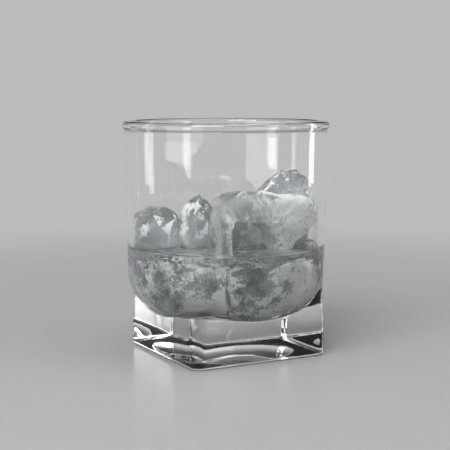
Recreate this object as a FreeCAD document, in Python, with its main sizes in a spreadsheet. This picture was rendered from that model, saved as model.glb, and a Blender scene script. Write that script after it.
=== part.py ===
import FreeCAD, Part

import os

import Sketcher
from FreeCAD import Vector

# A whisky tumbler with a round rim and a square foot, charged with broken ice and melt water.
#
# The glass is pressed in one piece. A round cup with an even wall and a rounded bottom is sunk
# in a square block. The cup bulges out over the four flats of the block, low at their middles
# and higher towards the corners, and the corners of the block run up and die out on the cup.
# The base under the bowl is thick. Four lumps of ice are bedded in the bowl, with a
# chip frozen to one of them. Four more lie loose on top, and melt water fills the rest.
#
# Millimetres, +Z up. The origin is the centre of the foot, on the surface it stands on. The
# +Y side is the back. The load frame is the row's own, turned about Z by load_turn.

SIZES = {
    # the glass
    "rim_diameter": 82.0,
    "total_height": 92.0,
    "bead_height": 3.8,
    "bead_overhang": 0.8,
    "body_draft": 1.4,
    "foot_side": 59.2,
    "foot_corner_radius": 3.9,
    "corner_height": 42.0,
    "corner_top_radius": 7.2,
    "wall_thickness": 2.4,
    "base_thickness": 17.0,
    "bowl_corner_radius": 16.0,
    "heel_radius": 1.5,
    "punt_diameter": 46.0,
    "punt_depth": 2.2,
    "punt_edge_radius": 0.6,
    # the melt water
    "water_over_bed": 4.0,
    "meniscus_width": 2.4,
    # room round the ice
    "wall_clearance": 0.3,
    "lift_clearance": 0.3,
    "crack_width": 0.5,
    "load_turn": -28.65,
    # the bedded lumps, and where the cracks between them meet
    "bed_height": 38.0,
    "tall_height": 57.0,
    "bed_melt_radius": 2.6,
    "crack_x": -5.0,
    "left_crack_y": 4.0,
    # the chip, frozen to the front right lump beside the bridge's right leg
    "chip_width": 8.4,
    "chip_height": 7.2,
    "chip_depth": 9.0,
    "chip_inset": 15.1,
    "chip_melt_radius": 0.8,
    # the round lump, against the wall on the left of the load frame
    "round_gap": 0.8,
    "round_width": 17.0,
    "round_height": 19.6,
    "round_depth": 17.0,
    "round_y": -2.0,
    "round_melt_radius": 3.4,
    # the pointed lump, to the right of it
    "pointed_width": 13.6,
    "pointed_height": 24.6,
    "pointed_depth": 15.0,
    "pointed_y": -4.0,
    "pointed_melt_radius": 1.1,
    # the bridge, an arched slab along the front of the glass
    "bridge_gap": 8.5,
    "bridge_length": 44.0,
    "bridge_height": 27.4,
    "bridge_depth": 14.0,
    "bridge_y": -17.0,
    "bridge_leg_width": 5.5,
    "bridge_leg_depth": 5.5,
    "arch_width": 24.3,
    "arch_height": 15.2,
    "arch_corner_radius": 3.6,
    "bridge_melt_radius": 1.2,
    # the clear lump, on the tall one behind the bridge
    "clear_gap": 3.6,
    "clear_width": 16.0,
    "clear_height": 13.9,
    "clear_depth": 13.0,
    "clear_melt_radius": 1.0,
}

# Worked out from the sizes above, with the formula each one follows.
WORKED_OUT = {
    "rim_radius": "dim.rim_diameter / 2",
    "body_radius": "work.rim_radius - dim.bead_overhang",
    "bead_foot": "dim.total_height - dim.bead_height",
    "half_foot": "dim.foot_side / 2",
    "foot_flat": "work.half_foot - dim.foot_corner_radius",
    "corner_top_flat": "work.half_foot - dim.corner_top_radius",
    # the wall leans out by this slope; body_draft is what its radius gains up to the bead
    "slope": "dim.body_draft / work.bead_foot",
    "slant": "sqrt(1 + work.slope * work.slope)",
    # what the bowl's radius would be at the height of the foot, if its wall ran on down
    "bowl_foot_radius": "work.body_radius - dim.body_draft - work.slant * dim.wall_thickness",
    "bowl_rim_radius": "work.bowl_foot_radius + work.slope * dim.total_height",
    "lip_radius": "(work.rim_radius - work.bowl_rim_radius) * 0.48",
    "half_punt": "dim.punt_diameter / 2",
    "punt_radius": "(work.half_punt * work.half_punt / dim.punt_depth + dim.punt_depth) / 2",
    # an arc that is level at the water and meets the wall; its rise follows from its width
    "meniscus_radius": "dim.meniscus_width * 1.25",
    "meniscus_rise": "dim.meniscus_width * 0.5",
    "water_level": "dim.bed_height + dim.water_over_bed",
    "meniscus_top": "work.water_level + work.meniscus_rise",
    "water_radius": "work.bowl_foot_radius + work.slope * work.meniscus_top",
    # the bed
    "bed_floor": "dim.base_thickness + dim.wall_clearance",
    "half_crack": "dim.crack_width / 2",
    "bridge_back": "dim.bridge_y + dim.bridge_depth / 2",
    "bridge_front": "dim.bridge_y - dim.bridge_depth / 2",
    "tall_face": "work.bridge_back + dim.lift_clearance",
    "crack_y": "work.tall_face - work.half_crack",
    "crack_lean": "0 - tan(dim.load_turn * 1deg)",
    "skew_crack": "work.half_crack / cos(dim.load_turn * 1deg)",
    "crack_front_x": "dim.crack_x - (work.rim_radius + work.crack_y) * work.crack_lean",
    "crack_back_x": "dim.crack_x + (work.rim_radius - work.crack_y) * work.crack_lean",
    "seat_radius": "work.bowl_foot_radius + work.slope * dim.bed_height",
    # the lumps that lie on the bed
    "seat": "dim.bed_height + dim.lift_clearance",
    "high_seat": "dim.tall_height + dim.lift_clearance",
    "round_left": "dim.round_gap - work.seat_radius",
    "round_right": "work.round_left + dim.round_width",
    "pointed_left": "work.round_right + dim.crack_width",
    "bridge_left": "work.seat_radius - dim.bridge_gap - dim.bridge_length",
    "chip_left": "work.bridge_left + 0.84 * dim.bridge_length + dim.lift_clearance",
    "chip_y": "dim.chip_inset - work.seat_radius",
    "clear_left": "work.seat_radius - dim.clear_gap - dim.clear_width",
    "clear_y": "work.tall_face + dim.lift_clearance + dim.clear_depth / 2",
    "arch_left": "work.bridge_left + dim.bridge_leg_width",
    "arch_foot": "work.seat - dim.arch_height * 0.1",
    "arch_top": "work.seat + dim.arch_height",
    "leg_back": "work.bridge_front + dim.bridge_leg_depth",
}

doc = FreeCAD.newDocument("tumbler")


def make_sheet(name, cells):
    """A spreadsheet with the names in column A and the aliased cells in column B."""
    sheet = doc.addObject("Spreadsheet::Sheet", name)
    for row, (alias, content) in enumerate(cells.items(), start=1):
        sheet.set(f"A{row}", alias)
        sheet.set(f"B{row}", content)
        sheet.setAlias(f"B{row}", alias)
        doc.recompute()
    return sheet


dim = make_sheet("dim", {alias: str(number) for alias, number in SIZES.items()})
work = make_sheet("work", {alias: "=" + formula for alias, formula in WORKED_OUT.items()})


def number(formula):
    """The plain number that a formula over the two sheets gives."""
    return float(work.evalExpression(str(formula)))


# ------------------------------------------------------------------ sketches and features
def sketch_on(body, name, role, height=None):
    """An empty sketch on one of the body's origin planes, raised along the plane's normal."""
    plane = next(f for f in body.Origin.OriginFeatures if f.Role == role)
    sketch = body.newObject("Sketcher::SketchObject", name)
    sketch.AttachmentSupport = [(plane, "")]
    sketch.MapMode = "FlatFace"
    sketch.Visibility = False
    if height:
        sketch.setExpression("AttachmentOffset.Base.z", height)
    return sketch


def arc_through(start, end, radius, inner):
    """The shorter arc of that radius between two points, with its centre on inner's side. It
    runs anticlockwise, the only way that a sketch keeps an arc."""
    middle = (start + end) / 2
    half_chord = (end - start).Length / 2
    to_centre = Vector(start.y - end.y, end.x - start.x, 0).normalize()
    if to_centre.dot(inner - middle) < 0:
        to_centre = -to_centre
    rise = max(radius**2 - half_chord**2, 0) ** 0.5
    crown = middle + to_centre * (rise - radius)
    if (crown - start).cross(end - crown).z < 0:
        start, end = end, start
    return Part.Arc(start, crown, end)


def draw(sketch, points, arcs=None):
    """Draws a closed outline through the points and binds each coordinate to its formula.

    arcs gives, for the number of the point where an arc starts, the formula of its radius and
    a point on the side of its centre. All the other points are joined by straight lines.
    """
    arcs = arcs or {}
    points = [(str(x), str(y)) for x, y in points]
    spots = [Vector(number(x), number(y), 0) for x, y in points]
    count = len(spots)
    starts = []
    for i, spot in enumerate(spots):
        following = spots[(i + 1) % count]
        if i in arcs:
            radius, inner = arcs[i]
            sketch.addGeometry(arc_through(spot, following, number(radius), inner), False)
        else:
            sketch.addGeometry(Part.LineSegment(spot, following), False)
        starts.append(1 if sketch.Geometry[i].StartPoint.isEqual(spot, 1e-6) else 2)
    for i, (x, y) in enumerate(points):
        before = (i - 1) % count
        joined = Sketcher.Constraint("Coincident", before, 3 - starts[before], i, starts[i])
        sketch.addConstraint(joined)
        for kind, formula in (("DistanceX", x), ("DistanceY", y)):
            held = Sketcher.Constraint(kind, -1, 1, i, starts[i], number(formula))
            sketch.setExpression(f"Constraints[{sketch.addConstraint(held)}]", formula)
    for i, (radius, _) in arcs.items():
        held = Sketcher.Constraint("Radius", i, number(radius))
        sketch.setExpression(f"Constraints[{sketch.addConstraint(held)}]", radius)
    return sketch


def turn_about_z(body, kind, sketch):
    """A full Revolution or Groove of the sketch about the body's Z axis."""
    feature = body.newObject(kind, sketch.Name + "_turn")
    feature.Profile = sketch
    feature.ReferenceAxis = (sketch, ["V_Axis"])
    feature.Angle = 360
    return feature


def fillet(body, name, radius, wanted):
    """Rounds the edges of the body, as it is so far, that wanted() picks."""
    doc.recompute()
    base = body.Tip
    edges = [f"Edge{i}" for i, edge in enumerate(base.Shape.Edges, start=1) if wanted(edge)]
    feature = body.newObject("PartDesign::Fillet", name)
    feature.Base = (base, edges)
    feature.setExpression("Radius", radius)
    return feature


def ring(radius, height):
    """Picks the round edges of that radius at that height."""

    def wanted(edge):
        box = edge.BoundBox
        level = abs(box.ZMin - number(height)) < 1e-3 and box.ZLength < 1e-3
        return level and abs(box.XLength / 2 - number(radius)) < 1e-3

    return wanted


def quarter_turns(x, y):
    """The points (x, -y) and (x, y), and the same turned by one, two and three quarters."""
    points = []
    for side in (f"0 - {y}", y):
        points.append([(x, side), (f"0 - ({side})", x), (f"0 - {x}", f"0 - ({side})"), (side, f"0 - {x}")])
    return [point for pair in zip(*points) for point in pair]


def bowl_outline(inset, top):
    """Half of the bowl, inset from its floor and wall: floor, round corner, wall and top.

    The corner is an arc that leaves the floor level and meets the leaning wall tangent to it.
    """
    floor = f"(dim.base_thickness + {inset})"
    radius = f"(dim.bowl_corner_radius - {inset})"
    axis_side = f"(work.bowl_foot_radius - work.slant * {inset})"
    arc_foot = f"({axis_side} + work.slope * {floor} - {radius} * (work.slant - work.slope))"
    arc_head_x = f"{arc_foot} + {radius} / work.slant"
    arc_head_z = f"{floor} + {radius} - {radius} * work.slope / work.slant"
    points = [
        ("0", floor),
        (arc_foot, floor),
        (arc_head_x, arc_head_z),
        (f"{axis_side} + work.slope * {top}", top),
        ("0", top),
    ]
    return points, {1: (radius, Vector(0, number(top), 0))}


# ------------------------------------------------------------------ the glass
def square_outline(body, name, flat, corner_radius, height=None):
    """The outline of the block at a height: a square with rounded corners."""
    outline = sketch_on(body, name, "XY_Plane", height)
    corners = {i: (corner_radius, Vector(0, 0, 0)) for i in range(1, 8, 2)}
    return draw(outline, quarter_turns("work.half_foot", flat), corners)


def make_glass():
    """Pressed glass: a square block and a cup joined, then bead, bowl, punt and rounded edges."""
    body = doc.addObject("PartDesign::Body", "tumbler_glass")
    block = body.newObject("PartDesign::AdditiveLoft", "block")
    block.Profile = square_outline(body, "foot_outline", "work.foot_flat", "dim.foot_corner_radius")
    top = ("work.corner_top_flat", "dim.corner_top_radius", "dim.corner_height")
    block.Sections = [square_outline(body, "corner_top_outline", *top)]
    block.Ruled = True

    # the cup is the bowl, set out by the wall's thickness
    cup = sketch_on(body, "cup_profile", "XZ_Plane")
    points, arcs = bowl_outline("(0 - dim.wall_thickness)", "work.bead_foot")
    turn_about_z(body, "PartDesign::Revolution", draw(cup, points, arcs))

    bead = sketch_on(body, "bead_profile", "XZ_Plane")
    bead_points = [
        ("0", "work.bead_foot"),
        ("work.rim_radius", "work.bead_foot"),
        ("work.rim_radius", "dim.total_height"),
        ("0", "dim.total_height"),
    ]
    turn_about_z(body, "PartDesign::Revolution", draw(bead, bead_points))

    bowl = sketch_on(body, "bowl_profile", "XZ_Plane")
    points, arcs = bowl_outline("0", "dim.total_height")
    turn_about_z(body, "PartDesign::Groove", draw(bowl, points, arcs))

    # the punt is a shallow cap of a sphere, pushed up into the base
    punt = sketch_on(body, "punt_profile", "XZ_Plane")
    cap = [("0", "0"), ("work.half_punt", "0"), ("0", "dim.punt_depth")]
    below = Vector(0, -number("work.punt_radius"), 0)
    turn_about_z(body, "PartDesign::Groove", draw(punt, cap, {1: ("work.punt_radius", below)}))

    outer = ring("work.rim_radius", "dim.total_height")
    inner = ring("work.bowl_rim_radius", "dim.total_height")
    fillet(body, "lip_rounding", "work.lip_radius", lambda edge: outer(edge) or inner(edge))
    bead_edge = ring("work.rim_radius", "work.bead_foot")
    fillet(body, "bead_rounding", "dim.bead_overhang * 0.8", bead_edge)
    punt_edge = ring("work.half_punt", "0")
    fillet(body, "punt_rounding", "dim.punt_edge_radius", punt_edge)
    past_punt = number("work.half_punt + dim.punt_edge_radius") * 1.02
    fillet(
        body,
        "heel_rounding",
        "dim.heel_radius",
        lambda edge: edge.BoundBox.ZMax < 1e-3 and edge.CenterOfMass.Length > past_punt,
    )
    return body


# ------------------------------------------------------------------ the ice
def turn_into_load(thing):
    """Turns a thing about Z from the row's frame into the load frame."""
    thing.setExpression("Placement.Rotation.Angle", "dim.load_turn")
    return thing


def in_room(name, room, block):
    """The lump that a block of ice leaves when only what fits the room in the bowl is kept."""
    lump = doc.addObject("Part::Common", name)
    lump.Base = room
    lump.Tool = block
    return lump


def make_room():
    """The room for ice: the bowl, inset from its floor and wall by the wall clearance."""
    body = doc.addObject("PartDesign::Body", "ice_room")
    points, arcs = bowl_outline("dim.wall_clearance", "dim.total_height")
    profile = draw(sketch_on(body, "ice_room_profile", "XZ_Plane"), points, arcs)
    turn_about_z(body, "PartDesign::Revolution", profile)
    return body


def standing_block(name, left, width, floor, height, depth, middle_y, shares):
    """A block whose outline stands in the XZ plane. shares gives the outline's points as parts
    of its width and height, from its lower left corner, and its thickness runs along Y."""
    body = doc.addObject("PartDesign::Body", name + "_block")
    points = [(f"{left} + {x} * {width}", f"{floor} + {z} * {height}") for x, z in shares]
    # the normal of the XZ plane is -Y, so the sketch is offset by minus the depth's middle
    outline = sketch_on(body, name + "_outline", "XZ_Plane", f"0 - ({middle_y})")
    block = body.newObject("PartDesign::Pad", name + "_pad")
    block.Profile = draw(outline, points)
    block.Midplane = True
    block.setExpression("Length", depth)
    return body


def bedded_lump(name, room, points, top):
    """A lump that stands on the floor of the bowl. Its outline lies in the XY plane."""
    body = doc.addObject("PartDesign::Body", name + "_block")
    outline = sketch_on(body, name + "_outline", "XY_Plane", "work.bed_floor")
    block = body.newObject("PartDesign::Pad", name + "_pad")
    block.Profile = draw(outline, points)
    block.setExpression("Length", f"{top} - work.bed_floor")
    above = number("work.bed_floor") + 1
    fillet(body, name + "_melt", "dim.bed_melt_radius", lambda edge: edge.BoundBox.ZMax > above)
    return in_room(name, room, body)


def make_bed(room):
    """Four lumps parted by cracks. One crack runs from front to back, along the load frame's
    depth, and another crosses each half. The lump at the back right stands up behind the
    bridge, and the other three are lower."""
    reach = "work.rim_radius"
    start = "0 - work.rim_radius"
    left_of_crack = {
        "front": "work.crack_front_x - work.skew_crack",
        "middle": "dim.crack_x - work.skew_crack",
        "back": "work.crack_back_x - work.skew_crack",
    }
    right_of_crack = {
        "front": "work.crack_front_x + work.skew_crack",
        "middle": "dim.crack_x + work.skew_crack",
        "back": "work.crack_back_x + work.skew_crack",
    }
    front_left = [
        (start, start),
        (left_of_crack["front"], start),
        (left_of_crack["middle"], "work.crack_y - work.half_crack"),
        (start, "dim.left_crack_y - work.half_crack"),
    ]
    back_left = [
        (start, "dim.left_crack_y + work.half_crack"),
        (left_of_crack["middle"], "work.crack_y + work.half_crack"),
        (left_of_crack["back"], reach),
        (start, reach),
    ]
    front_right = [
        (right_of_crack["front"], start),
        (reach, start),
        (reach, "work.crack_y - work.half_crack"),
        (right_of_crack["middle"], "work.crack_y - work.half_crack"),
    ]
    back_right = [
        (right_of_crack["middle"], "work.tall_face"),
        (reach, "work.tall_face"),
        (reach, reach),
        (right_of_crack["back"], reach),
    ]
    return [
        bedded_lump("ice_bed_front_left", room, front_left, "dim.bed_height"),
        bedded_lump("ice_bed_back_left", room, back_left, "dim.bed_height"),
        bedded_lump("ice_bed_front_right", room, front_right, "dim.bed_height"),
        bedded_lump("ice_bed_tall", room, back_right, "dim.tall_height"),
    ]


def make_chip(room):
    """A small clear chip that stands on the front right lump, half out of the water."""
    shares = [(0, 0), (1, 0), (1, 0.6), (0.72, 1), (0.24, 0.84), (0, 0.4)]
    block = standing_block(
        "ice_bed_chip",
        "work.chip_left",
        "dim.chip_width",
        "dim.bed_height",
        "dim.chip_height",
        "dim.chip_depth",
        "work.chip_y",
        shares,
    )
    fillet(block, "ice_bed_chip_melt", "dim.chip_melt_radius", lambda edge: True)
    return in_room("ice_bed_chip", room, block)


def make_round_lump(room):
    """A well melted lump, pressed against the wall of the glass."""
    shares = [(0.28, 0), (0.72, 0), (0.93, 0.2), (1, 0.5), (0.92, 0.8), (0.68, 1), (0.36, 1), (0.1, 0.84)]
    shares += [(0, 0.52), (0.06, 0.22)]
    block = standing_block(
        "ice_round",
        "work.round_left",
        "dim.round_width",
        "work.seat",
        "dim.round_height",
        "dim.round_depth",
        "dim.round_y",
        shares,
    )
    fillet(block, "ice_round_melt", "dim.round_melt_radius", lambda edge: True)
    return in_room("ice_round", room, turn_into_load(block))


def make_pointed_lump(room):
    """A splinter that stands on end, with its point up."""
    shares = [(0.06, 0), (0.94, 0), (1, 0.34), (1, 0.72), (0.74, 0.98), (0.6, 1), (0.32, 0.88), (0.07, 0.69)]
    shares += [(0, 0.46)]
    block = standing_block(
        "ice_pointed",
        "work.pointed_left",
        "dim.pointed_width",
        "work.seat",
        "dim.pointed_height",
        "dim.pointed_depth",
        "dim.pointed_y",
        shares,
    )
    fillet(block, "ice_pointed_melt", "dim.pointed_melt_radius", lambda edge: True)
    return in_room("ice_pointed", room, turn_into_load(block))


def make_bridge(room):
    """The arched slab. It stands on two legs, and the left leg tapers away at its back."""
    shares = [(0.025, 0), (0.78, 0), (0.81, 0.15), (0.88, 0.36), (0.93, 0.5), (0.985, 0.6), (0.97, 0.74)]
    shares += [(0.85, 0.86), (0.66, 0.9), (0.5, 0.965), (0.26, 1), (0.1, 0.93), (0, 0.72)]
    block = standing_block(
        "ice_bridge",
        "work.bridge_left",
        "dim.bridge_length",
        "work.seat",
        "dim.bridge_height",
        "dim.bridge_depth",
        "dim.bridge_y",
        shares,
    )
    fillet(block, "ice_bridge_melt", "dim.bridge_melt_radius", lambda edge: True)
    arch = sketch_on(block, "arch_outline", "XZ_Plane", "0 - dim.bridge_y")
    arch_points = [
        ("work.arch_left", "work.arch_foot"),
        ("work.arch_left + dim.arch_width", "work.arch_foot"),
        ("work.arch_left + 0.8 * dim.arch_width", "work.arch_top - 0.4 * dim.arch_height"),
        ("work.arch_left + 0.5 * dim.arch_width", "work.arch_top"),
        ("work.arch_left + dim.arch_corner_radius", "work.arch_top"),
        ("work.arch_left", "work.arch_top - dim.arch_corner_radius"),
    ]
    inside = Vector(number("work.arch_left + dim.arch_width"), number("work.arch_foot"), 0)
    opening = block.newObject("PartDesign::Pocket", "arch")
    opening.Profile = draw(arch, arch_points, {4: ("dim.arch_corner_radius", inside)})
    opening.Midplane = True
    opening.setExpression("Length", "dim.bridge_depth * 1.2")

    taper = sketch_on(block, "leg_taper_outline", "YZ_Plane", "work.arch_left")
    taper_points = [
        ("work.leg_back", "work.arch_foot"),
        ("work.bridge_back + dim.bridge_leg_depth", "work.arch_foot"),
        ("work.bridge_back + dim.bridge_leg_depth", "work.arch_top"),
        ("work.bridge_back - 0.1 * dim.bridge_leg_depth", "work.arch_top"),
    ]
    taper_cut = block.newObject("PartDesign::Pocket", "leg_taper")
    taper_cut.Profile = draw(taper, taper_points)
    taper_cut.setExpression("Length", "dim.bridge_leg_width * 1.2")
    return in_room("ice_bridge", room, block)


def make_clear_lump(room):
    """A clear wedge on top of the tall lump, behind the bridge."""
    shares = [(0, 0), (1, 0), (1, 0.5), (0.94, 1), (0.42, 0.86), (0, 0.3)]
    block = standing_block(
        "ice_clear",
        "work.clear_left",
        "dim.clear_width",
        "work.high_seat",
        "dim.clear_height",
        "dim.clear_depth",
        "work.clear_y",
        shares,
    )
    fillet(block, "ice_clear_melt", "dim.clear_melt_radius", lambda edge: True)
    return in_room("ice_clear", room, block)


# ------------------------------------------------------------------ the melt water
def make_well(name, left, right, front, back):
    """The room that the water leaves round the foot of a loose lump, with the lift clearance."""
    well = doc.addObject("Part::Box", name)
    well.setExpression("Length", f"{right} - ({left}) + 2 * dim.lift_clearance")
    well.setExpression("Width", f"{back} - ({front}) + 2 * dim.lift_clearance")
    well.setExpression("Height", "work.meniscus_top - dim.bed_height + dim.lift_clearance")
    well.setExpression("Placement.Base.x", f"{left} - dim.lift_clearance")
    well.setExpression("Placement.Base.y", f"{front} - dim.lift_clearance")
    well.setExpression("Placement.Base.z", "dim.bed_height")
    return well


def make_water(bed):
    """Melt water up to its level, with a meniscus up the wall, round the lumps that stand in it."""
    body = doc.addObject("PartDesign::Body", "water_fill")
    points, arcs = bowl_outline("0", "work.meniscus_top")
    points[4:] = [("work.water_radius - dim.meniscus_width", "work.water_level"), ("0", "work.water_level")]
    arcs[3] = ("work.meniscus_radius", Vector(0, number("dim.total_height"), 0))
    profile = draw(sketch_on(body, "water_profile", "XZ_Plane"), points, arcs)
    turn_about_z(body, "PartDesign::Revolution", profile)

    load_wells = doc.addObject("Part::MultiFuse", "load_wells")
    load_wells.Shapes = [
        make_well(
            "well_round",
            "work.round_left",
            "work.round_right",
            "dim.round_y - dim.round_depth / 2",
            "dim.round_y + dim.round_depth / 2",
        ),
        make_well(
            "well_pointed",
            "work.pointed_left",
            "work.pointed_left + dim.pointed_width",
            "dim.pointed_y - dim.pointed_depth / 2",
            "dim.pointed_y + dim.pointed_depth / 2",
        ),
    ]
    well_left_leg = make_well(
        "well_left_leg",
        "work.bridge_left",
        "work.arch_left",
        "work.bridge_front",
        "work.bridge_back",
    )
    well_right_leg = make_well(
        "well_right_leg",
        "work.arch_left + 0.84 * dim.arch_width",
        "work.bridge_left + 0.84 * dim.bridge_length",
        "work.bridge_front",
        "work.bridge_back",
    )
    taken = doc.addObject("Part::MultiFuse", "taken_by_ice")
    taken.Shapes = bed + [turn_into_load(load_wells), well_left_leg, well_right_leg]
    water = doc.addObject("Part::Cut", "melt_water")
    water.Base = body
    water.Tool = taken
    return water


# ------------------------------------------------------------------ the whole
glass = make_glass()
ice_room = make_room()
bed_lumps = make_bed(ice_room) + [make_chip(ice_room)]
loose_lumps = [
    make_round_lump(ice_room),
    make_pointed_lump(ice_room),
    make_bridge(ice_room),
    make_clear_lump(ice_room),
]
melt_water = make_water(bed_lumps)
doc.recompute()

for thing in doc.Objects:
    if "Invalid" in thing.State or "Error" in thing.State:
        raise RuntimeError(f"{thing.Name} did not build: {thing.State}")

os.makedirs("parts", exist_ok=True)
for node in [glass, melt_water] + bed_lumps + loose_lumps:
    shape = node.Shape
    if shape.isNull() or not shape.isValid():
        raise RuntimeError(f"{node.Label} has no valid shape")
    if len(shape.Solids) != 1:
        raise RuntimeError(f"{node.Label} is in {len(shape.Solids)} pieces")
    shape.exportStep(f"parts/{node.Label}.step")
    box = shape.BoundBox
    print(f"{node.Label}: {shape.Volume / 1000:.2f} ml, {box.XLength:.1f} x {box.YLength:.1f} x {box.ZLength:.1f}")
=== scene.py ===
import math

import bpy
import numpy as np
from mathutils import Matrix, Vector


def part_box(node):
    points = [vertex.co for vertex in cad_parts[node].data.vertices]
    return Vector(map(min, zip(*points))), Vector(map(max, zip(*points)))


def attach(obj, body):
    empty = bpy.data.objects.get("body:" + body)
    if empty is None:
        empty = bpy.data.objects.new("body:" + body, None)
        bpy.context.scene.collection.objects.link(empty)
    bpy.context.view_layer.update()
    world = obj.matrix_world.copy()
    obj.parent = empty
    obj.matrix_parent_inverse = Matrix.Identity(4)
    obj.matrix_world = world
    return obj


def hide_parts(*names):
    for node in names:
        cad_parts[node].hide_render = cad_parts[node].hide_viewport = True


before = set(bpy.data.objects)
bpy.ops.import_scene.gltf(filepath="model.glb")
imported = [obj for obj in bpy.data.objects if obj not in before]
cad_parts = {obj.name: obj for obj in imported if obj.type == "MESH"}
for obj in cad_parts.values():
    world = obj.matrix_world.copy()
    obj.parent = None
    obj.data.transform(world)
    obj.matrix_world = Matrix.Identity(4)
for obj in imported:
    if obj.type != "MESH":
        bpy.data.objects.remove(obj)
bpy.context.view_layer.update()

MM = 0.001

# ---------------------------------------------------------------- the glass
# One piece of pressed soda-lime glass. The mould gives it a round cup that bulges out over the
# four flats of a square block, and the plunger leaves a round bowl over the thick base. The
# rim is fire-polished to a bead, and a shallow punt is pressed into the underside.

GLASS_LOW, GLASS_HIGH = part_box("tumbler_glass")
RIM_RADIUS = (GLASS_HIGH.x - GLASS_LOW.x) / 2
RIM_HEIGHT = GLASS_HIGH.z
BEAD_HEIGHT = 3.8 * MM
BEAD_OVERHANG = 0.8 * MM
BODY_RADIUS = RIM_RADIUS - BEAD_OVERHANG
NECK_HEIGHT = RIM_HEIGHT - BEAD_HEIGHT
HALF_FOOT = 29.6 * MM
FOOT_CORNER = 3.9 * MM
CORNER_HEIGHT = 42 * MM
CORNER_TOP = 7.2 * MM
WALL = 2.4 * MM
BASE = 17 * MM
BOWL_CORNER = 16 * MM
HEEL = 1.5 * MM
PUNT_RADIUS = 23 * MM
PUNT_DEPTH = 2.2 * MM
PUNT_EDGE = 0.6 * MM
SLOPE = 1.4 * MM / NECK_HEIGHT
SLANT = math.hypot(1, SLOPE)


def closed_skin(name, rings):
    """A closed mesh over rings[v, u], a grid of points that joins up round u. The first and
    the last ring are single points, the two poles."""
    count, around = rings.shape[:2]
    inner = rings[1:-1].reshape(-1, 3)
    points = np.vstack([rings[:1, 0], inner, rings[-1:, 0]])
    last = len(points) - 1
    u = np.arange(around)
    here = 1 + (np.arange(count - 3)[:, None] * around + u[None, :])
    beside = 1 + (np.arange(count - 3)[:, None] * around + (u[None, :] + 1) % around)
    quads = np.stack([here, beside, beside + around, here + around], -1).reshape(-1, 4)
    end = 1 + (count - 3) * around
    first_fan = np.stack([np.zeros_like(u), 1 + (u + 1) % around, 1 + u], -1)
    last_fan = np.stack([np.full_like(u, last), end + u, end + (u + 1) % around], -1)
    faces = quads.tolist() + first_fan.tolist() + last_fan.tolist()
    mesh = bpy.data.meshes.new(name)
    mesh.from_pydata(points.tolist(), [], faces)
    mesh.polygons.foreach_set("use_smooth", np.ones(len(mesh.polygons), bool))
    mesh.update()
    piece = bpy.data.objects.new(name, mesh)
    bpy.context.scene.collection.objects.link(piece)
    return piece


FLAT_STEPS, CORNER_STEPS = 56, 40
corner_start = math.atan2(HALF_FOOT - FOOT_CORNER, HALF_FOOT)
over_flat = np.linspace(-corner_start, corner_start, FLAT_STEPS, endpoint=False)
over_corner = np.linspace(corner_start, np.pi / 2 - corner_start, CORNER_STEPS, endpoint=False)
quarter = np.concatenate([over_flat, over_corner])
side_angle = np.concatenate([quarter + turn * np.pi / 2 for turn in range(4)])
even_angle = side_angle[0] + np.arange(len(side_angle)) * 2 * np.pi / len(side_angle)


def on_circle(radius, height, evenness):
    """A ring of that radius and height. evenness 0 crowds its points at the block's corners,
    and 1 spaces them evenly."""
    angle = side_angle * (1 - evenness) + even_angle * evenness
    return np.stack([radius * np.cos(angle), radius * np.sin(angle), np.full(len(angle), height)], 1)


def block_reach(height, inset):
    """How far the square block reaches in each direction: half / cos(turn) over its flats, and
    out to a round corner between two of them. The corner's radius grows with the height."""
    corner = FOOT_CORNER + (CORNER_TOP - FOOT_CORNER) * height / CORNER_HEIGHT - inset
    half = HALF_FOOT - inset
    straight = half - corner
    turn = np.abs((side_angle + np.pi / 4) % (np.pi / 2) - np.pi / 4)
    across = straight * (np.cos(turn) - np.sin(turn))
    on_corner = straight * (np.cos(turn) + np.sin(turn)) + np.sqrt(np.maximum(corner**2 - across**2, 0))
    return np.where(half * np.tan(turn) <= straight, half / np.cos(turn), on_corner)


def cup_reach(height):
    """Radius of the cup at a height: the bowl's own round corner and wall, set out by the
    thickness of the wall."""
    below = BASE + BOWL_CORNER - height
    if below <= 0:
        return BODY_RADIUS - SLOPE * (NECK_HEIGHT - height)
    shell = BOWL_CORNER + WALL
    centre = bowl_radius(BASE) - BOWL_CORNER * (SLANT - SLOPE)
    return centre + math.sqrt(max(shell**2 - below**2, 0))


def on_side(height, inset=0.0):
    """The outline of the sides at a height: whichever reaches farther, the block or the cup,
    with a small fillet where they meet."""
    block = block_reach(height, inset)
    cup = cup_reach(height)
    fillet = 0.45 * MM
    reach = block + fillet * np.logaddexp(0, (cup - block) / fillet)
    return np.stack([reach * np.cos(side_angle), reach * np.sin(side_angle), np.full(len(reach), height)], 1)


def bowl_radius(height, inset=0.0):
    """Radius of the bowl's wall at a height, or of a wall inset from it."""
    return BODY_RADIUS - SLOPE * (NECK_HEIGHT - height) - SLANT * (WALL + inset)


def bowl_profile(inset, steps):
    """The bowl's round corner, inset from the wall and floor: (radius, height) from the wall
    down to the floor. The arc meets the leaning wall and the level floor tangent to both."""
    radius = BOWL_CORNER - inset
    floor = BASE + inset
    centre = bowl_radius(floor, inset) - radius * (SLANT - SLOPE)
    angle = np.linspace(-math.atan(SLOPE), -np.pi / 2, steps)
    return centre + radius * np.cos(angle), floor + radius + radius * np.sin(angle), centre


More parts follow.
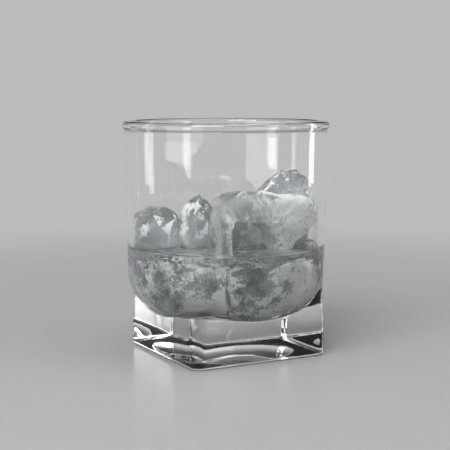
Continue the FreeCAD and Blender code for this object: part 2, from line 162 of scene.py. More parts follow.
def glass_rings():
    """The whole skin: punt, foot ring, heel, sides, bead, lip, bowl, from pole to pole."""
    rings = []
    sphere = (PUNT_RADIUS**2 / PUNT_DEPTH + PUNT_DEPTH) / 2
    for radius in np.linspace(0, PUNT_RADIUS - PUNT_EDGE, 16):
        height = PUNT_DEPTH - sphere + math.sqrt(sphere**2 - radius**2)
        rings.append(on_circle(radius, height, 1))
    edge_height = rings[-1][0, 2]
    for share in np.linspace(0, 1, 7)[1:]:
        radius = PUNT_RADIUS - PUNT_EDGE * (1 - share)
        rings.append(on_circle(radius + PUNT_EDGE * 0.4 * share, edge_height * (1 - share) ** 2, 1))
    under = on_side(0, HEEL)
    last_round = rings[-1]
    for share in np.linspace(0, 1, 9)[1:]:
        rings.append(last_round * (1 - share) + under * share)
    for angle in np.linspace(0, np.pi / 2, 12)[1:]:
        rings.append(on_side(HEEL * (1 - np.cos(angle)), HEEL * (1 - np.sin(angle))))
    heights = [HEEL, 15.5 * MM, 24 * MM, 46 * MM, NECK_HEIGHT]
    for low, high, steps in zip(heights, heights[1:], (8, 36, 28, 12)):
        rings += [on_side(height) for height in np.linspace(low, high, steps + 1)[1:]]
    rise = BEAD_HEIGHT * 0.42
    for share in np.linspace(0, 1, 12)[1:]:
        swell = share * share * (3 - 2 * share)
        rings.append(on_circle(BODY_RADIUS + BEAD_OVERHANG * swell, NECK_HEIGHT + rise * share, swell))
    lip = (RIM_RADIUS - bowl_radius(RIM_HEIGHT)) / 2
    for angle in np.linspace(0, np.pi, 24):
        radius = RIM_RADIUS - lip + lip * np.cos(angle)
        rings.append(on_circle(radius, RIM_HEIGHT - lip + lip * np.sin(angle), 1))
    arc_radius, arc_height, floor_radius = bowl_profile(0, 40)
    for height in np.linspace(RIM_HEIGHT - lip, arc_height[0], 24)[1:-1]:
        rings.append(on_circle(bowl_radius(height), height, 1))
    rings += [on_circle(radius, height, 1) for radius, height in zip(arc_radius, arc_height)]
    rings += [on_circle(radius, BASE, 1) for radius in np.linspace(floor_radius, 0, 10)[1:]]
    return np.array(rings)


def new_material(name):
    """A node material with one Principled shader, and its object coordinates."""
    material = bpy.data.materials.new(name)
    material.use_nodes = True
    nodes = material.node_tree.nodes
    shader = nodes["Principled BSDF"]
    coordinates = nodes.new("ShaderNodeTexCoord").outputs["Object"]
    return material, nodes, material.node_tree.links.new, shader, coordinates


def mottle(nodes, link, where, scale, detail, roughness=0.5):
    """Noise of that scale over the piece, from 0 to 1."""
    node = nodes.new("ShaderNodeTexNoise")
    node.inputs["Scale"].default_value = scale
    node.inputs["Detail"].default_value = detail
    node.inputs["Roughness"].default_value = roughness
    link(where, node.inputs["Vector"])
    return node.outputs["Fac"]


def graded(nodes, link, value, span, result, curve="SMOOTHSTEP"):
    """A value that goes from the first to the second result while it crosses the span."""
    node = nodes.new("ShaderNodeMapRange")
    node.interpolation_type = curve
    link(value, node.inputs["Value"])
    for key, number in zip(("From Min", "From Max", "To Min", "To Max"), (*span, *result)):
        node.inputs[key].default_value = number
    return node.outputs["Result"]


def pressed_glass():
    """Clear glass with the faint waviness of pressed glass, and a stippled foot ring."""
    material, nodes, link, shader, where = new_material("pressed_glass")
    shader.inputs["Base Color"].default_value = (0.985, 0.995, 0.99, 1)
    shader.inputs["Roughness"].default_value = 0.0
    shader.inputs["IOR"].default_value = 1.5
    shader.inputs["Transmission Weight"].default_value = 1.0
    bump = nodes.new("ShaderNodeBump")
    bump.inputs["Strength"].default_value = 0.12
    bump.inputs["Distance"].default_value = 1 * MM
    link(mottle(nodes, link, where, 55, 1), bump.inputs["Height"])
    height = nodes.new("ShaderNodeSeparateXYZ")
    link(where, height.inputs[0])
    on_ring = graded(nodes, link, height.outputs["Z"], (0.05 * MM, 0.25 * MM), (0.35, 0.0), "LINEAR")
    dots = nodes.new("ShaderNodeTexVoronoi")
    dots.inputs["Scale"].default_value = 700
    link(where, dots.inputs["Vector"])
    stipple = nodes.new("ShaderNodeBump")
    stipple.inputs["Distance"].default_value = 0.4 * MM
    link(on_ring, stipple.inputs["Strength"])
    link(dots.outputs["Distance"], stipple.inputs["Height"])
    link(bump.outputs["Normal"], stipple.inputs["Normal"])
    link(stipple.outputs["Normal"], shader.inputs["Normal"])
    return material


tumbler = closed_skin("tumbler", glass_rings())
tumbler.data.materials.append(pressed_glass())
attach(tumbler, "tumbler")
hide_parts("tumbler_glass")

# ---------------------------------------------------------------- the bed of ice
# Four lumps of cloudy freezer ice lie packed in the bowl, and fill it. They broke apart along
# two cracks and melted round at the edges. The one at the back right stands above the water,
# and a small clear chip is frozen to the one at the front right.

LOAD_TURN = math.radians(-28.65)
WATER_LEVEL = 42 * MM
along_load = np.array([math.cos(LOAD_TURN), math.sin(LOAD_TURN), 0])
into_load = np.array([-math.sin(LOAD_TURN), math.cos(LOAD_TURN), 0])
upward = np.array([0.0, 0.0, 1.0])
load_axes = (along_load, into_load)
square_axes = (np.array([1.0, 0, 0]), np.array([0, 1.0, 0]))


def soft_most(distances, melt):
    """The largest of several distances, blended where they are alike: melt times the log of
    the sum of exp(distance / melt)."""
    largest = distances.max(0)
    return largest + melt * np.log(np.exp((distances - largest) / melt).sum(0))


def ripple(points, size, seed):
    """Waves about that size, from -1 to 1 or so: fourteen sines of the points, added up, each
    with a direction, a length and a start of its own."""
    chance = np.random.default_rng(seed)
    direction = chance.normal(size=(14, 3))
    direction /= np.linalg.norm(direction, axis=1)[:, None]
    pace = 2 * np.pi / (size * chance.uniform(0.7, 1.5, 14))
    start = chance.uniform(0, 2 * np.pi, 14)
    return np.sin(points @ (direction * pace[:, None]).T + start).sum(-1) / 3.7


def room_distance(points):
    """How far points are outside the bowl's inner skin: its leaning wall, its floor and the
    round corner between them. Inside it is negative."""
    reach = np.hypot(points[..., 0], points[..., 1])
    height = points[..., 2]
    wall = (reach - bowl_radius(height)) / SLANT
    across = reach - (bowl_radius(BASE) - BOWL_CORNER * (SLANT - SLOPE))
    above = height - BASE - BOWL_CORNER
    in_corner = (above + SLOPE * across < 0) & (across > 0)
    return np.where(in_corner, np.hypot(across, above) - BOWL_CORNER, np.maximum(wall, BASE - height))


def side_planes(corners, outward_x, outward_y):
    """Normals and distances of the flat sides that stand on an outline. The outline runs
    anticlockwise in the plane of the two directions."""
    corners = np.array(corners, float)
    run = np.roll(corners, -1, 0) - corners
    normal = np.stack([run[:, 1], -run[:, 0]], 1) / np.linalg.norm(run, axis=1)[:, None]
    return normal @ np.stack([outward_x, outward_y]), (normal * corners).sum(1)


def lump_skin(name, outside, centre, rows=120, around=240):
    """The closed skin on which outside(point) is nought. Each direction of a grid of heights
    and turns is followed out from the centre, and halved in on the skin."""
    height, turn = np.meshgrid(
        np.linspace(-np.pi / 2, np.pi / 2, rows), np.arange(around) * 2 * np.pi / around, indexing="ij"
    )
    flat = np.cos(height)
    direction = np.stack([flat * np.cos(turn), flat * np.sin(turn), np.sin(height)], -1)
    near, far = np.zeros(height.shape), np.full(height.shape, 60 * MM)
    for _ in range(24):
        middle = (near + far) / 2
        is_out = outside(centre + direction * middle[..., None]) > 0
        near, far = np.where(is_out, near, middle), np.where(is_out, middle, far)
    return closed_skin(name, centre + direction * near[..., None])


def frosting(piece, frost):
    """Keeps a value from 0, clear, to 1, white with frost or with a painted highlight, at each point of the
    piece.
    """
    count = len(piece.data.vertices)
    points = np.empty(count * 3)
    piece.data.vertices.foreach_get("co", points)
    layer = piece.data.attributes.new("frost", "FLOAT", "POINT")
    layer.data.foreach_set("value", np.clip(frost(points.reshape(-1, 3)), 0, 1))


def spot(points, place, size):
    """A round spot that fades outwards: exp(-(distance / size) squared)."""
    return np.exp(-(((points - np.array(place) * MM) / (np.array(size) * MM)) ** 2).sum(-1))


def in_load(points):
    """Points as the load's own right, depth and height."""
    return np.stack([points @ along_load, points @ into_load, points[..., 2]], -1)


def shard(points, corners):
    """An angular patch on the front, 1 inside and 0 outside: the least of the distances to the
    sides of an outline, in the load's right and height, which runs anticlockwise."""
    place = in_load(points) / MM
    corners = np.array(corners, float)
    run = np.roll(corners, -1, 0) - corners
    inward = np.stack([-run[:, 1], run[:, 0]], 1) / np.linalg.norm(run, axis=1)[:, None]
    inside = place[:, [0, 2]] @ inward.T - (corners * inward).sum(1)
    return np.clip(inside.min(1) / 0.35 + 0.5, 0, 1) * (place[:, 1] < -1)


def along_line(flat_points, corners, width):
    """A thin band along a line through some corners: exp(-(distance / width) squared)."""
    nearest = np.full(len(flat_points), np.inf)
    corners = np.array(corners, float)
    for start, end in zip(corners, corners[1:]):
        run = end - start
        share = np.clip((flat_points - start) @ run / (run @ run), 0, 1)
        nearest = np.minimum(nearest, np.linalg.norm(flat_points - start - share[:, None] * run, axis=1))
    return np.exp(-((nearest / width) ** 2))


def ice(name, ior, bumps, grain, shaded_clear_tint, white_tint, glint):
    """Ice that is clear where the frost value is low, where a grey tint is painted shade. Frost is
    a white, rough skin that comes in clouds and grains, and hairline cracks run through it."""
    material, nodes, link, shader, where = new_material(name)

    def sum_of(first, factor, second):
        node = nodes.new("ShaderNodeMath")
        node.operation = "MULTIPLY_ADD"
        link(first, node.inputs[0])
        node.inputs[1].default_value = factor
        if isinstance(second, float):
            node.inputs[2].default_value = second
        else:
            link(second, node.inputs[2])
        return node.outputs[0]

    value = nodes.new("ShaderNodeAttribute")
    value.attribute_name = "frost"
    clouds = mottle(nodes, link, where, 230, 7, 0.72)
    drifts = mottle(nodes, link, where, 75, 2)
    grains = mottle(nodes, link, where, grain, 3, 0.6)
    swirl = nodes.new("ShaderNodeTexNoise")
    swirl.inputs["Scale"].default_value = 160
    link(where, swirl.inputs["Vector"])
    warp = nodes.new("ShaderNodeVectorMath")
    warp.operation = "MULTIPLY_ADD"
    link(swirl.outputs["Color"], warp.inputs[0])
    warp.inputs[1].default_value = (6 * MM, 6 * MM, 6 * MM)
    link(where, warp.inputs[2])
    cells = nodes.new("ShaderNodeTexVoronoi")
    cells.feature = "DISTANCE_TO_EDGE"
    cells.inputs["Scale"].default_value = 130
    link(warp.outputs[0], cells.inputs["Vector"])
    hairline = nodes.new("ShaderNodeMath")
    hairline.operation = "MULTIPLY"
    link(graded(nodes, link, cells.outputs["Distance"], (0.0, 0.022), (1.0, 0.0)), hairline.inputs[0])
    link(graded(nodes, link, clouds, (0.46, 0.6), (0.0, 1.0)), hairline.inputs[1])
    cover = sum_of(clouds, 4.4, -4.25)
    cover = sum_of(drifts, 1.9, cover)
    cover = sum_of(grains, 2.2, cover)
    cover = sum_of(cover, 1.0, value.outputs["Fac"])
    cover = sum_of(hairline.outputs[0], 0.35, cover)
    link(graded(nodes, link, cover, (0.15, 0.8), (1.0, 0.05)), shader.inputs["Transmission Weight"])
    link(graded(nodes, link, cover, (0.2, 0.9), (0.01, 0.4)), shader.inputs["Roughness"])
    # The clear tint is grey: painted shade that makes clear ice read dark.
    tint = nodes.new("ShaderNodeMix")
    tint.data_type = "RGBA"
    tint.inputs["A"].default_value = shaded_clear_tint
    tint.inputs["B"].default_value = white_tint
    link(graded(nodes, link, cover, (-0.15, 0.75), (0.0, 1.0)), tint.inputs["Factor"])
    link(tint.outputs["Result"], shader.inputs["Base Color"])
    shader.inputs["IOR"].default_value = ior
    shader.inputs["Coat Weight"].default_value = glint
    shader.inputs["Coat Roughness"].default_value = 0.12
    shader.inputs["Coat IOR"].default_value = 1.3
    bump = nodes.new("ShaderNodeBump")
    bump.inputs["Distance"].default_value = bumps
    link(sum_of(grains, 0.14, sum_of(clouds, 1.0, 0.0)), bump.inputs["Height"])
    link(bump.outputs["Normal"], shader.inputs["Normal"])
    return material


# The first colour of each, the grey of its clear parts, is painted shade.
sunk_ice = ice("sunk_ice", 1.03, 1.4 * MM, 1300, (0.4, 0.42, 0.44, 1), (0.97, 0.98, 0.99, 1), 0.8)
dry_ice = ice("dry_ice", 1.31, 1.1 * MM, 1500, (0.66, 0.68, 0.7, 1), (0.78, 0.8, 0.82, 1), 0.0)
clear_ice = ice("clear_ice", 1.31, 0.7 * MM, 900, (0.62, 0.64, 0.67, 1), (0.84, 0.86, 0.88, 1), 0.0)


def bed_lump(name, corners, top, centre, dent, seed):
    """Flat sides on an outline, a top and the bowl's skin, blended at the edges, with dents.
    The distance is the soft largest of theirs, plus waves."""
    normal, offset = side_planes(np.array(corners) * MM, *square_axes)
    start = np.array(centre) * MM

    def outside(points, shrink=0.0):
        sides = [points @ n - d for n, d in zip(normal, offset)]
        lid = points[..., 2] - top * MM + 1.2 * MM * ripple(points, 16 * MM, seed + 1)
        room = room_distance(points) + 0.5 * MM
        distances = np.stack(sides + [lid, room])
        waves = ripple(points, 11 * MM, seed) + 0.22 * ripple(points, 3.6 * MM, seed + 2)
        skin = soft_most(distances, 1.1 * MM) + dent * MM * waves
        return np.maximum(skin, room_distance(points) + 0.15 * MM) + shrink

    return lump_skin(name, outside, start), outside, start


front_left, _, _ = bed_lump(
    "bed_front_left", [(-41, -41), (-22.5, -41), (-5.5, -10.3), (-41, 3.6)], 38, (-16, -13, 28), 0.8, 11
)
back_left, _, _ = bed_lump(
    "bed_back_left", [(-41, 4.4), (-5.5, -9.3), (22, 41), (-41, 41)], 38, (-9, 12, 27), 0.9, 23
)
front_right, _, _ = bed_lump(
    "bed_front_right", [(-21.5, -41), (41, -41), (41, -10.3), (-4.6, -10.3)], 38, (8, -18, 28), 0.7, 37
)
tall, outside_tall, tall_start = bed_lump(
    "bed_tall", [(-4.6, -9.7), (41, -9.7), (41, 41), (23.4, 41)], 57, (17, 5, 36), 0.8, 41
)


def standing_lump(name, corners, middle, depth, lean, centre, melt, dent, seed, axes, facets=()):
    """A block on an upright outline, with a front and a back that lean a little, blended at
    the edges, with dents. The distance is the soft largest of theirs, plus waves. Each facet
    is a flat given by its normal, to the right, away and up, and its distance from the centre."""
    right, away = axes
    normal, offset = side_planes(np.array(corners) * MM, right, upward)
    back = away * math.cos(lean) + upward * math.sin(lean)
    front = -away * math.cos(lean) + upward * math.sin(lean)
    pivot = away * middle * MM + upward * centre[2] * MM
    start = right * centre[0] * MM + pivot

    def outside(points, shrink=0.0):
        sides = [points @ n - d for n, d in zip(normal, offset)]
        ends = [(points - pivot) @ back - depth / 2 * MM, (points - pivot) @ front - depth / 2 * MM]
        for out, off, up, distance in facets:
            facing = (out * right + off * away + up * upward) / math.sqrt(out**2 + off**2 + up**2)
            ends.append((points - start) @ facing - distance * MM)
        distances = np.stack(sides + ends + [room_distance(points) + 0.6 * MM])
        waves = ripple(points, 8 * MM, seed) + 0.2 * ripple(points, 2.6 * MM, seed + 1)
        skin = soft_most(distances, melt * MM) + dent * MM * waves
        return np.maximum(skin, room_distance(points) + 0.35 * MM) + shrink

    return lump_skin(name, outside, start), outside, start


def outline(shares, left, width, foot, height):
    """Corners given as shares of a width and a height, in millimetres."""
    return np.array(shares) * (width, height) + (left, foot)


CHIP_SHARES = [(0, 0), (1, 0), (1, 0.6), (0.72, 1), (0.24, 0.84), (0, 0.4)]
chip, outside_chip, chip_start = standing_lump(
    "bed_chip", outline(CHIP_SHARES, 21.6, 8.8, 37.7, 7.8), middle=-21.7, depth=9.4, lean=0.1,
    centre=(25.5, 0, 41), melt=0.4, dent=0.35, seed=71, axes=square_axes,
)


def bed_frost(points):
    """Frost over the bed: even and white at the right, patchy elsewhere, with clear windows."""
    place = in_load(points)
    frost = 0.62 + 0.2 * ripple(points, 9 * MM, 5)
    for more, centre, size in (
        (0.5, (27, -8, 28), (9, 30, 14)),
        (-0.9, (-21, -20, 28), (4, 12, 8)),
        (0.6, (-9, -24, 21), (9, 12, 5)),
        (0.4, (-30, -8, 22), (5, 12, 7)),
        (-0.6, (7, -9, 46), (12, 8, 8)),
        (-0.7, (10, -30, 33), (9, 12, 5)),
        (-3, (32, 4, 46), (8, 14, 8)),
    ):
        frost += more * spot(place, centre, size)
    frost += 0.8 * shard(points, [(-15, 21), (-10.6, 23), (-12, 27.4), (-14.8, 25)])
    frost += 0.8 * shard(points, [(-8, 22), (-2, 21), (-1, 25), (-7, 27)])
    return frost


def chip_frost(points):
    """Almost clear all over."""
    return 0.1 + 0.1 * ripple(points, 4 * MM, 3)


for lump, node in (
    (front_left, "ice_bed_front_left"),
    (back_left, "ice_bed_back_left"),
    (front_right, "ice_bed_front_right"),
    (tall, "ice_bed_tall"),
    (chip, "ice_bed_chip"),
):
    frosting(lump, chip_frost if lump is chip else bed_frost)
    lump.data.materials.append(dry_ice if lump in (tall, chip) else sunk_ice)
    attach(lump, "tumbler")
    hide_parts(node)

# ---------------------------------------------------------------- the loose lumps
# Four lumps sit on the bed and can be lifted off: a rounded one with broken facets, an upright
# splinter, a slab that bridges the front on two legs, and a clear chip on top.

ROUND_SHARES = [
    (0.22, 0), (0.78, 0), (0.95, 0.2), (1, 0.52), (0.94, 0.8),
    (0.7, 1), (0.34, 1), (0.06, 0.84), (0, 0.52), (0.05, 0.22),
]
ROUND_FACETS = [
    (0.5, -0.7, 0.5, 9.8), (-0.35, -0.8, 0.55, 9.8), (0.75, -0.6, -0.2, 9.8),
    (-0.7, -0.6, -0.1, 9.6), (0.1, -0.9, -0.45, 9.2), (0.1, -0.95, 0.1, 9.3),
    (0.3, 0.8, 0.5, 9.4), (-0.5, 0.8, 0.1, 9.2), (0.5, 0.8, -0.2, 9.6),
]
round_lump, outside_round, round_start = standing_lump(
    "ice_round_lump", outline(ROUND_SHARES, -38.2, 20.4, 37.6, 20.4), middle=-2, depth=19, lean=0.1,
    centre=(-28, 0, 47.6), melt=0.4, dent=0.25, seed=52, axes=load_axes, facets=ROUND_FACETS,
)
POINTED_SHARES = [
    (0.06, 0), (0.94, 0), (1, 0.34), (1, 0.72), (0.74, 0.98), (0.6, 1), (0.32, 0.88), (0.07, 0.69), (0, 0.46)
]
POINTED_FACETS = [
    (-0.55, -0.75, 0.3, 6.9), (0.6, -0.7, 0.35, 6.6), (0.15, -0.9, -0.3, 7.6), (-0.2, -0.8, 0.75, 9.4),
    (0.75, -0.5, -0.2, 6.9), (-0.8, -0.5, -0.25, 7.2), (0.5, 0.75, 0.4, 7.4), (-0.6, 0.7, 0.1, 7.6),
]
pointed_lump, outside_pointed, pointed_start = standing_lump(
    "ice_pointed_lump", outline(POINTED_SHARES, -18.8, 14.2, 38.1, 25.8), middle=-4, depth=15, lean=0.14,
    centre=(-12, 0, 49), melt=0.3, dent=0.4, seed=67, axes=load_axes, facets=POINTED_FACETS,
)
CLEAR_SHARES = [(-0.24, 0), (1, 0), (1.06, 0.5), (1.02, 1), (0.4, 0.98), (0.08, 0.62), (-0.24, 0.16)]
CLEAR_FACETS = [(0.3, -0.7, 0.6, 7.6), (-0.5, -0.8, 0.3, 7.8), (0.8, -0.6, 0.1, 9.4), (-0.2, 0.7, 0.7, 8)]
clear_lump, _, _ = standing_lump(
    "ice_clear_lump", outline(CLEAR_SHARES, 17.4, 16.2, 57, 14.6), middle=-3, depth=13, lean=0.08,
    centre=(26.5, 0, 63), melt=0.3, dent=0.45, seed=83, axes=square_axes, facets=CLEAR_FACETS,
)


def smooth_path(stations, corners, count, spread):
    """Points along straight runs between corners, then each one the weighted mean of its
    neighbours, so that the corners round off. The two ends stay."""
    share = np.linspace(0, 1, count)
    corners = np.array(corners, float)
    path = np.stack([np.interp(share, stations, column) for column in corners.T], 1)
    reach = np.arange(-3 * spread, 3 * spread + 1)
    weight = np.exp(-((reach / spread) ** 2))
    weight /= weight.sum()
    before = 2 * path[0] - path[3 * spread : 0 : -1]
    after = 2 * path[-1] - path[-2 : -3 * spread - 2 : -1]
    mirrored = np.vstack([before, path, after])
    return np.stack([np.convolve(column, weight, "valid") for column in mirrored.T], 1)


def skin_normals(grid):
    """Outward unit normals of a grid of points that joins up round its second direction."""
    along = np.gradient(grid, axis=0)
    round_about = np.roll(grid, -1, 1) - np.roll(grid, 1, 1)
    normal = np.cross(round_about, along)
    return normal / np.maximum(np.linalg.norm(normal, axis=-1, keepdims=True), 1e-12)


BRIDGE_STATIONS = [0, 0.2, 0.3, 0.37, 0.47, 0.58, 0.68, 0.76, 0.82, 0.88, 0.94, 1]
BRIDGE_UNDER = [
    (-9.8, 38.1), (-9.8, 49.4), (-8.9, 52.2), (-6.6, 53.4), (-1, 53.9), (3.2, 53.2),
    (6.4, 50.6), (8.2, 48.6), (9.4, 46.4), (10.6, 43.6), (11.8, 41), (12.8, 38.1),
]
BRIDGE_DEPTH = [
    (-21.2, 2.8), (-19.6, 4.6), (-17.8, 6.4), (-17.1, 7), (-17, 7.1), (-17, 7.1),
    (-17, 7), (-17, 6.9), (-16.6, 6.3), (-16, 5.6), (-15.6, 5), (-15.6, 4.6),
]
TOP_STATIONS = [0, 0.2, 0.3, 0.37, 0.47, 0.58, 0.69, 0.755, 0.795, 0.835, 0.87, 0.905, 0.93, 0.965, 1]
BRIDGE_TOP = [
    (-14.4, 38.1), (-15.6, 57.4), (-12.4, 63), (-4.4, 65.9), (4.6, 65.3),
    (13.6, 63.3), (24, 62.9), (30.6, 60.6), (33.4, 57), (33, 53.6),
    (27.4, 51.4), (26.6, 48.2), (21.8, 46.4), (18.8, 42.4), (17.6, 38.1),
]
CLOSING = 0.035


def bridge_skin(name, shrink=0.0):
    """A slab carried over an arch: each section lies between the arch and the slab's outline,
    and is a superellipse as deep as the slab, |x|**4.5 + |y|**4.5 = 1. Both ends close, the
    surface has melt waves, and its right end is broken rough and follows the glass."""
    rows, around = 230, 150
    under = smooth_path(BRIDGE_STATIONS, BRIDGE_UNDER, rows, 3)
    over = smooth_path(TOP_STATIONS, BRIDGE_TOP, rows, 2)
    middle, half_depth = smooth_path(BRIDGE_STATIONS, BRIDGE_DEPTH, rows, 6).T
    share = np.linspace(0, 1, rows)
    close = np.sqrt(np.clip(1 - (1 - np.minimum(share, 1 - share) / CLOSING) ** 2, 0, 1))
    close[(share > CLOSING) & (share < 1 - CLOSING)] = 1
    centre = (under + over) / 2
    half = (over - under) / 2
    turn = np.arange(around) * 2 * np.pi / around
    out = np.sign(np.cos(turn)) * np.abs(np.cos(turn)) ** (2 / 4.5)
    deep = np.sign(np.sin(turn)) * np.abs(np.sin(turn)) ** (2 / 4.5)
    flat = centre[:, None] + half[:, None] * out[None, :, None] * close[:, None, None]
    depth = middle[:, None] + (half_depth * close)[:, None] * deep[None]
    grid = np.stack([flat[..., 0], depth, flat[..., 1]], -1) * MM
    normal = skin_normals(grid)
    broken = np.clip((grid[..., :1] / MM - 21) / 7, 0, 1) * np.clip((58 - grid[..., 2:] / MM) / 4, 0, 1)
    waves = 0.42 * ripple(grid, 9 * MM, 91)[..., None] + 0.12 * ripple(grid, 3 * MM, 92)[..., None]
    waves = waves + broken * 0.7 * np.abs(ripple(grid, 4.5 * MM, 93))[..., None]
    grid = grid + normal * (waves * MM - shrink)
    reach = np.hypot(grid[..., 0], grid[..., 1])
    limit = bowl_radius(grid[..., 2]) - 0.45 * MM - shrink
    grid[..., :2] *= np.minimum(1, limit / reach)[..., None]
    grid[0] = grid[0].mean(0)
    grid[-1] = grid[-1].mean(0)
    return closed_skin(name, grid)


bridge = bridge_skin("ice_bridge_slab")


def bridge_frost_and_highlight(points):
    """Clear at the left leg and the top left lip, mottled in the middle, white at the right and
    along the rim of the arch, with a few cracks, and a white band along the top ridge that is a painted
    highlight."""
    x, y, z = (points / MM).T
    frost = -0.8 + 1.15 * np.clip((x + 12) / 5, 0, 1) + 0.8 * np.clip((x - 2) / 12, 0, 1)
    frost -= 0.6 * np.clip((z - 62) / 2, 0, 1) * np.clip((14 - x) / 3, 0, 1)
    frost += 0.8 * spot(points, (-12, -22, 40), (5, 5, 4)) - 0.4 * spot(points, (-3, -24, 58), (6, 9, 4))
    front = np.clip((-19 - y) / 2, 0, 1)
    upright = np.stack([x, z], 1)
    frost += 1.4 * front * along_line(upright, BRIDGE_UNDER[:-2], 0.9)
    # A white band along the top ridge: a painted highlight.
    frost += 1.3 * along_line(upright, BRIDGE_TOP[4:7], 0.7)
    frost += 0.5 * front * along_line(upright, BRIDGE_TOP[1:5], 0.5)
    frost -= 1.5 * front * along_line(upright, [(19, 52.4), (23.6, 55), (26, 58.6), (26.2, 62)], 0.3)
    return frost + 0.1 * ripple(points, 7 * MM, 6)


def pointed_frost(points):
    """White at the left and the foot, clear and crystalline at the upper right."""
    place = in_load(points)
    frost = 0.22 + 0.4 * spot(place, (-18, -8, 52), (5, 12, 12)) - 0.7 * spot(place, (-8, -6, 57), (6, 20, 9))
    frost += shard(points, [(-12.4, 56), (-9.6, 58.6), (-11.4, 61)])
    frost += shard(points, [(-9.4, 49), (-7.2, 47.4), (-7, 54)])
    return frost + 0.25 * ripple(points, 5 * MM, 8)


def round_frost_and_highlights(points):
    """Clear, with two white patches at the upper right that are painted highlights, and a little frost at the
    foot.
    """
    # The two white shards are painted highlights.
    frost = shard(points, [(-28.4, 55.4), (-26, 51), (-23.6, 54.4)])
    frost += shard(points, [(-25.2, 50.6), (-22, 47.2), (-20.4, 53.6)])
    foot = spot(in_load(points), (-30, -8, 43), (8, 9, 3))
    return 1.6 * frost - 0.45 + 0.4 * foot + 0.1 * ripple(points, 6 * MM, 7)


def clear_lump_highlight(points):
    """Clear, with a white block inside its upper right corner that is a painted highlight."""
    # The white block is a painted highlight.
    frost = shard(points, [(25.4, 63.4), (29.6, 63), (29.4, 69.4), (26, 69.8)])
    return 1.5 * frost - 0.25 + 0.3 * ripple(points, 4 * MM, 9)


frosting(round_lump, round_frost_and_highlights)
frosting(pointed_lump, pointed_frost)
frosting(clear_lump, clear_lump_highlight)
frosting(bridge, bridge_frost_and_highlight)
for lump, body, finish in (
    (round_lump, "ice_round", "ice_clear"),
    (pointed_lump, "ice_pointed", "ice_frosted"),
    (bridge, "ice_bridge", "ice_frosted"),
    (clear_lump, "ice_clear", "ice_clear"),
):
    lump.data.materials.append(clear_ice if finish == "ice_clear" else dry_ice)
    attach(lump, body)
    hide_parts(body)

# ---------------------------------------------------------------- the melt water
# Melted ice fills what room the bed leaves, up to a level a little over it. It creeps up the
# glass and up each lump that stands in it.

OVERLAP = 0.05 * MM
CREEP = 1.2 * MM
GLASS_CREEP_REACH = 0.75 * MM
LUMP_CREEP = 0.9 * MM
LUMP_CREEP_REACH = 0.8 * MM
POCKET_GAP = 0.1 * MM
wetted = (
    (outside_round, round_start, 90),
    (outside_pointed, pointed_start, 90),
    (outside_tall, tall_start, 120),
    (outside_chip, chip_start, 90),
)


def water_rings():
    """The bowl's own profile up to the water's edge, then the surface to the middle. Near the
    glass and near each lump the surface rises as exp(-distance / reach), by CREEP at most."""
    arc_radius, arc_height, floor_radius = bowl_profile(-OVERLAP, 22)
    rings = [on_circle(radius, BASE - OVERLAP, 1) for radius in np.linspace(0, floor_radius, 8)[:-1]]
    rings += [on_circle(radius, height, 1) for radius, height in zip(arc_radius[::-1], arc_height[::-1])]
    brim = WATER_LEVEL + CREEP
    rings += [on_circle(bowl_radius(z) + OVERLAP, z, 1) for z in np.linspace(arc_height[0], brim, 12)[1:]]
    edge = bowl_radius(brim) + OVERLAP
    inward = np.concatenate([np.linspace(0, 4 * MM, 16)[1:], np.linspace(4 * MM, edge, 90)[1:]])
    surface = np.array([on_circle(max(edge - step, 0), WATER_LEVEL, 1) for step in inward])
    rise = CREEP * np.exp(-inward / GLASS_CREEP_REACH)[:, None]
    for outside, _, _ in wetted:
        rise = rise + LUMP_CREEP * np.exp(-np.maximum(outside(surface), 0) / LUMP_CREEP_REACH)
    surface[..., 2] += np.minimum(rise, CREEP)
    return np.array(rings + list(surface))


water = closed_skin("melt_water_body", water_rings())
pockets = [
    lump_skin("pocket", lambda points, outside=outside: outside(points, POCKET_GAP), start, rows, 2 * rows)
    for outside, start, rows in wetted
]
pockets.append(bridge_skin("pocket", POCKET_GAP))
for pocket in pockets:
    cut = water.modifiers.new("cut", "BOOLEAN")
    cut.operation = "DIFFERENCE"
    cut.object = pocket
    cut.solver = "EXACT"
cut_mesh = bpy.data.meshes.new_from_object(water.evaluated_get(bpy.context.evaluated_depsgraph_get()))
water.modifiers.clear()
water.data = cut_mesh
for pocket in pockets:
    bpy.data.objects.remove(pocket)


def still_water():
    """Clear cold water, with faint streaks where melt runs into it."""
    material, nodes, link, shader, where = new_material("still_water")
    shader.inputs["Base Color"].default_value = (0.99, 1, 1, 1)
    shader.inputs["Roughness"].default_value = 0.0
    shader.inputs["IOR"].default_value = 1.333
    shader.inputs["Transmission Weight"].default_value = 1.0
    bump = nodes.new("ShaderNodeBump")
    bump.inputs["Strength"].default_value = 0.1
    bump.inputs["Distance"].default_value = 1 * MM
    link(mottle(nodes, link, where, 90, 1), bump.inputs["Height"])
    link(bump.outputs["Normal"], shader.inputs["Normal"])
    return material


water.data.materials.clear()
water.data.materials.append(still_water())
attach(water, "tumbler")
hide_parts("melt_water")

# ---------------------------------------------------------------- the floor and the lights
# A plain pale floor fades into an even pale surround, under a dark ceiling that gives the
# glass its dark lines. Four tall softboxes stand round the glass, two more look down on it
# from over its shoulders, and a broad lamp hangs over it.

PALE = 0.5
FLOOR_REACH = 4.0
VIEW_TURN = LOAD_TURN
floor_corners = [(x * FLOOR_REACH, y * FLOOR_REACH, 0) for x, y in ((-1, -1), (1, -1), (1, 1), (-1, 1))]
floor_mesh = bpy.data.meshes.new("floor")
floor_mesh.from_pydata(floor_corners, [], [(0, 1, 2, 3)])
floor = bpy.data.objects.new("floor", floor_mesh)
bpy.context.scene.collection.objects.link(floor)


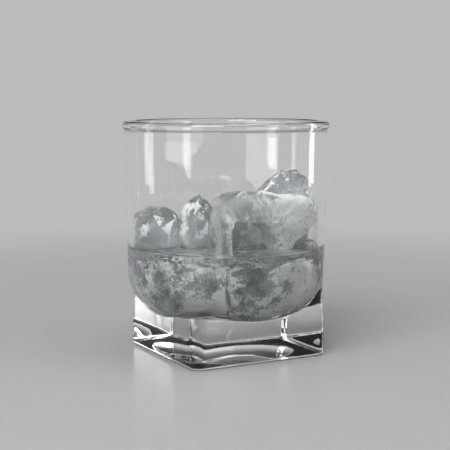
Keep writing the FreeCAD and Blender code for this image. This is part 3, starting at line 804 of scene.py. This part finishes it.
def floor_paint():
    """Pale paint with a slight gloss. Far off, it fades into the colour of the surround."""
    material, nodes, link, shader, where = new_material("floor_paint")
    shader.inputs["Base Color"].default_value = (0.3, 0.3, 0.3, 1)
    shader.inputs["Roughness"].default_value = 0.3
    shader.inputs["Specular IOR Level"].default_value = 0.3
    distance = nodes.new("ShaderNodeVectorMath")
    distance.operation = "LENGTH"
    link(where, distance.inputs[0])
    haze = nodes.new("ShaderNodeEmission")
    haze.inputs["Color"].default_value = (PALE, PALE, PALE, 1)
    mix = nodes.new("ShaderNodeMixShader")
    link(graded(nodes, link, distance.outputs["Value"], (0.1, 0.45), (0.0, 1.0)), mix.inputs[0])
    link(shader.outputs[0], mix.inputs[1])
    link(haze.outputs[0], mix.inputs[2])
    link(mix.outputs[0], nodes["Material Output"].inputs["Surface"])
    return material


floor_mesh.materials.append(floor_paint())


def surround():
    """A world that is even and pale from the floor to a little over it, and dark overhead."""
    world = bpy.data.worlds.new("surround")
    world.use_nodes = True
    nodes, link = world.node_tree.nodes, world.node_tree.links.new
    direction = nodes.new("ShaderNodeTexCoord").outputs["Generated"]
    split = nodes.new("ShaderNodeSeparateXYZ")
    link(direction, split.inputs[0])
    shade = graded(nodes, link, split.outputs["Z"], (0.1, 0.5), (PALE, 0.05))
    link(shade, nodes["Background"].inputs["Color"])
    bpy.context.scene.world = world


surround()
LOAD_MIDDLE = 0.045


def softbox(name, azimuth, distance, height, width, length, strength, tilt=math.pi / 2):
    """A rectangular lamp whose middle is at that height, and which faces the glass. Azimuth 0
    is the camera's side of it. It stands upright, or leans down at it where its tilt is less.
    strength is the brightness of its face, where 1 is white."""
    lamp = bpy.data.lights.new(name, "AREA")
    lamp.shape = "RECTANGLE"
    lamp.size = width
    lamp.size_y = length
    lamp.energy = strength * math.pi * width * length
    box = bpy.data.objects.new(name, lamp)
    angle = math.radians(azimuth) + VIEW_TURN
    box.location = (math.sin(angle) * distance, -math.cos(angle) * distance, height)
    box.rotation_euler = (tilt, 0, angle)
    box.visible_camera = False
    bpy.context.scene.collection.objects.link(box)


def high_softbox(name, azimuth, distance, height, size, strength):
    """A square softbox that looks down at the middle of the load."""
    tilt = math.atan2(distance, height - LOAD_MIDDLE)
    softbox(name, azimuth, distance, height, size, size, strength, tilt)


high_softbox("overhead", -math.degrees(VIEW_TURN), 0.0, 1.0, 0.8, 2.2)
high_softbox("front_softbox", -25, 0.62, 0.75, 0.5, 12)
high_softbox("side_softbox", 75, 0.62, 0.7, 0.35, 4.5)
softbox("left_softbox", -98, 0.7, 0.35, 0.08, 0.7, 3)
softbox("left_front_softbox", -48, 0.95, 0.4, 0.8, 0.8, 2)
softbox("right_softbox", 52, 0.75, 0.3, 0.14, 0.6, 4)
softbox("right_back_softbox", 112, 0.7, 0.3, 0.07, 0.6, 5)

# ---------------------------------------------------------------- the camera
# A long lens, a little higher than the rim and tipped down slightly, that sees two sides of
# the block.

CAMERA_REACH = 0.448
CAMERA_HEIGHT = 0.1043
CAMERA_PITCH = 0.12
camera_data = bpy.data.cameras.new("camera")
camera_data.sensor_width = 36
camera_data.lens = 90.07
camera_data.shift_x = -0.0022
camera_data.clip_start = 0.01
camera = bpy.data.objects.new("camera", camera_data)
camera.location = (math.sin(VIEW_TURN) * CAMERA_REACH, -math.cos(VIEW_TURN) * CAMERA_REACH, CAMERA_HEIGHT)
camera.rotation_euler = (math.pi / 2 - CAMERA_PITCH, 0, VIEW_TURN)
bpy.context.scene.collection.objects.link(camera)
bpy.context.scene.camera = camera
bpy.context.scene.view_settings.view_transform = "Standard"
bpy.context.scene.cycles.max_bounces = 32
bpy.context.scene.cycles.transmission_bounces = 32
bpy.context.scene.cycles.glossy_bounces = 8
bpy.context.scene.cycles.transparent_max_bounces = 24
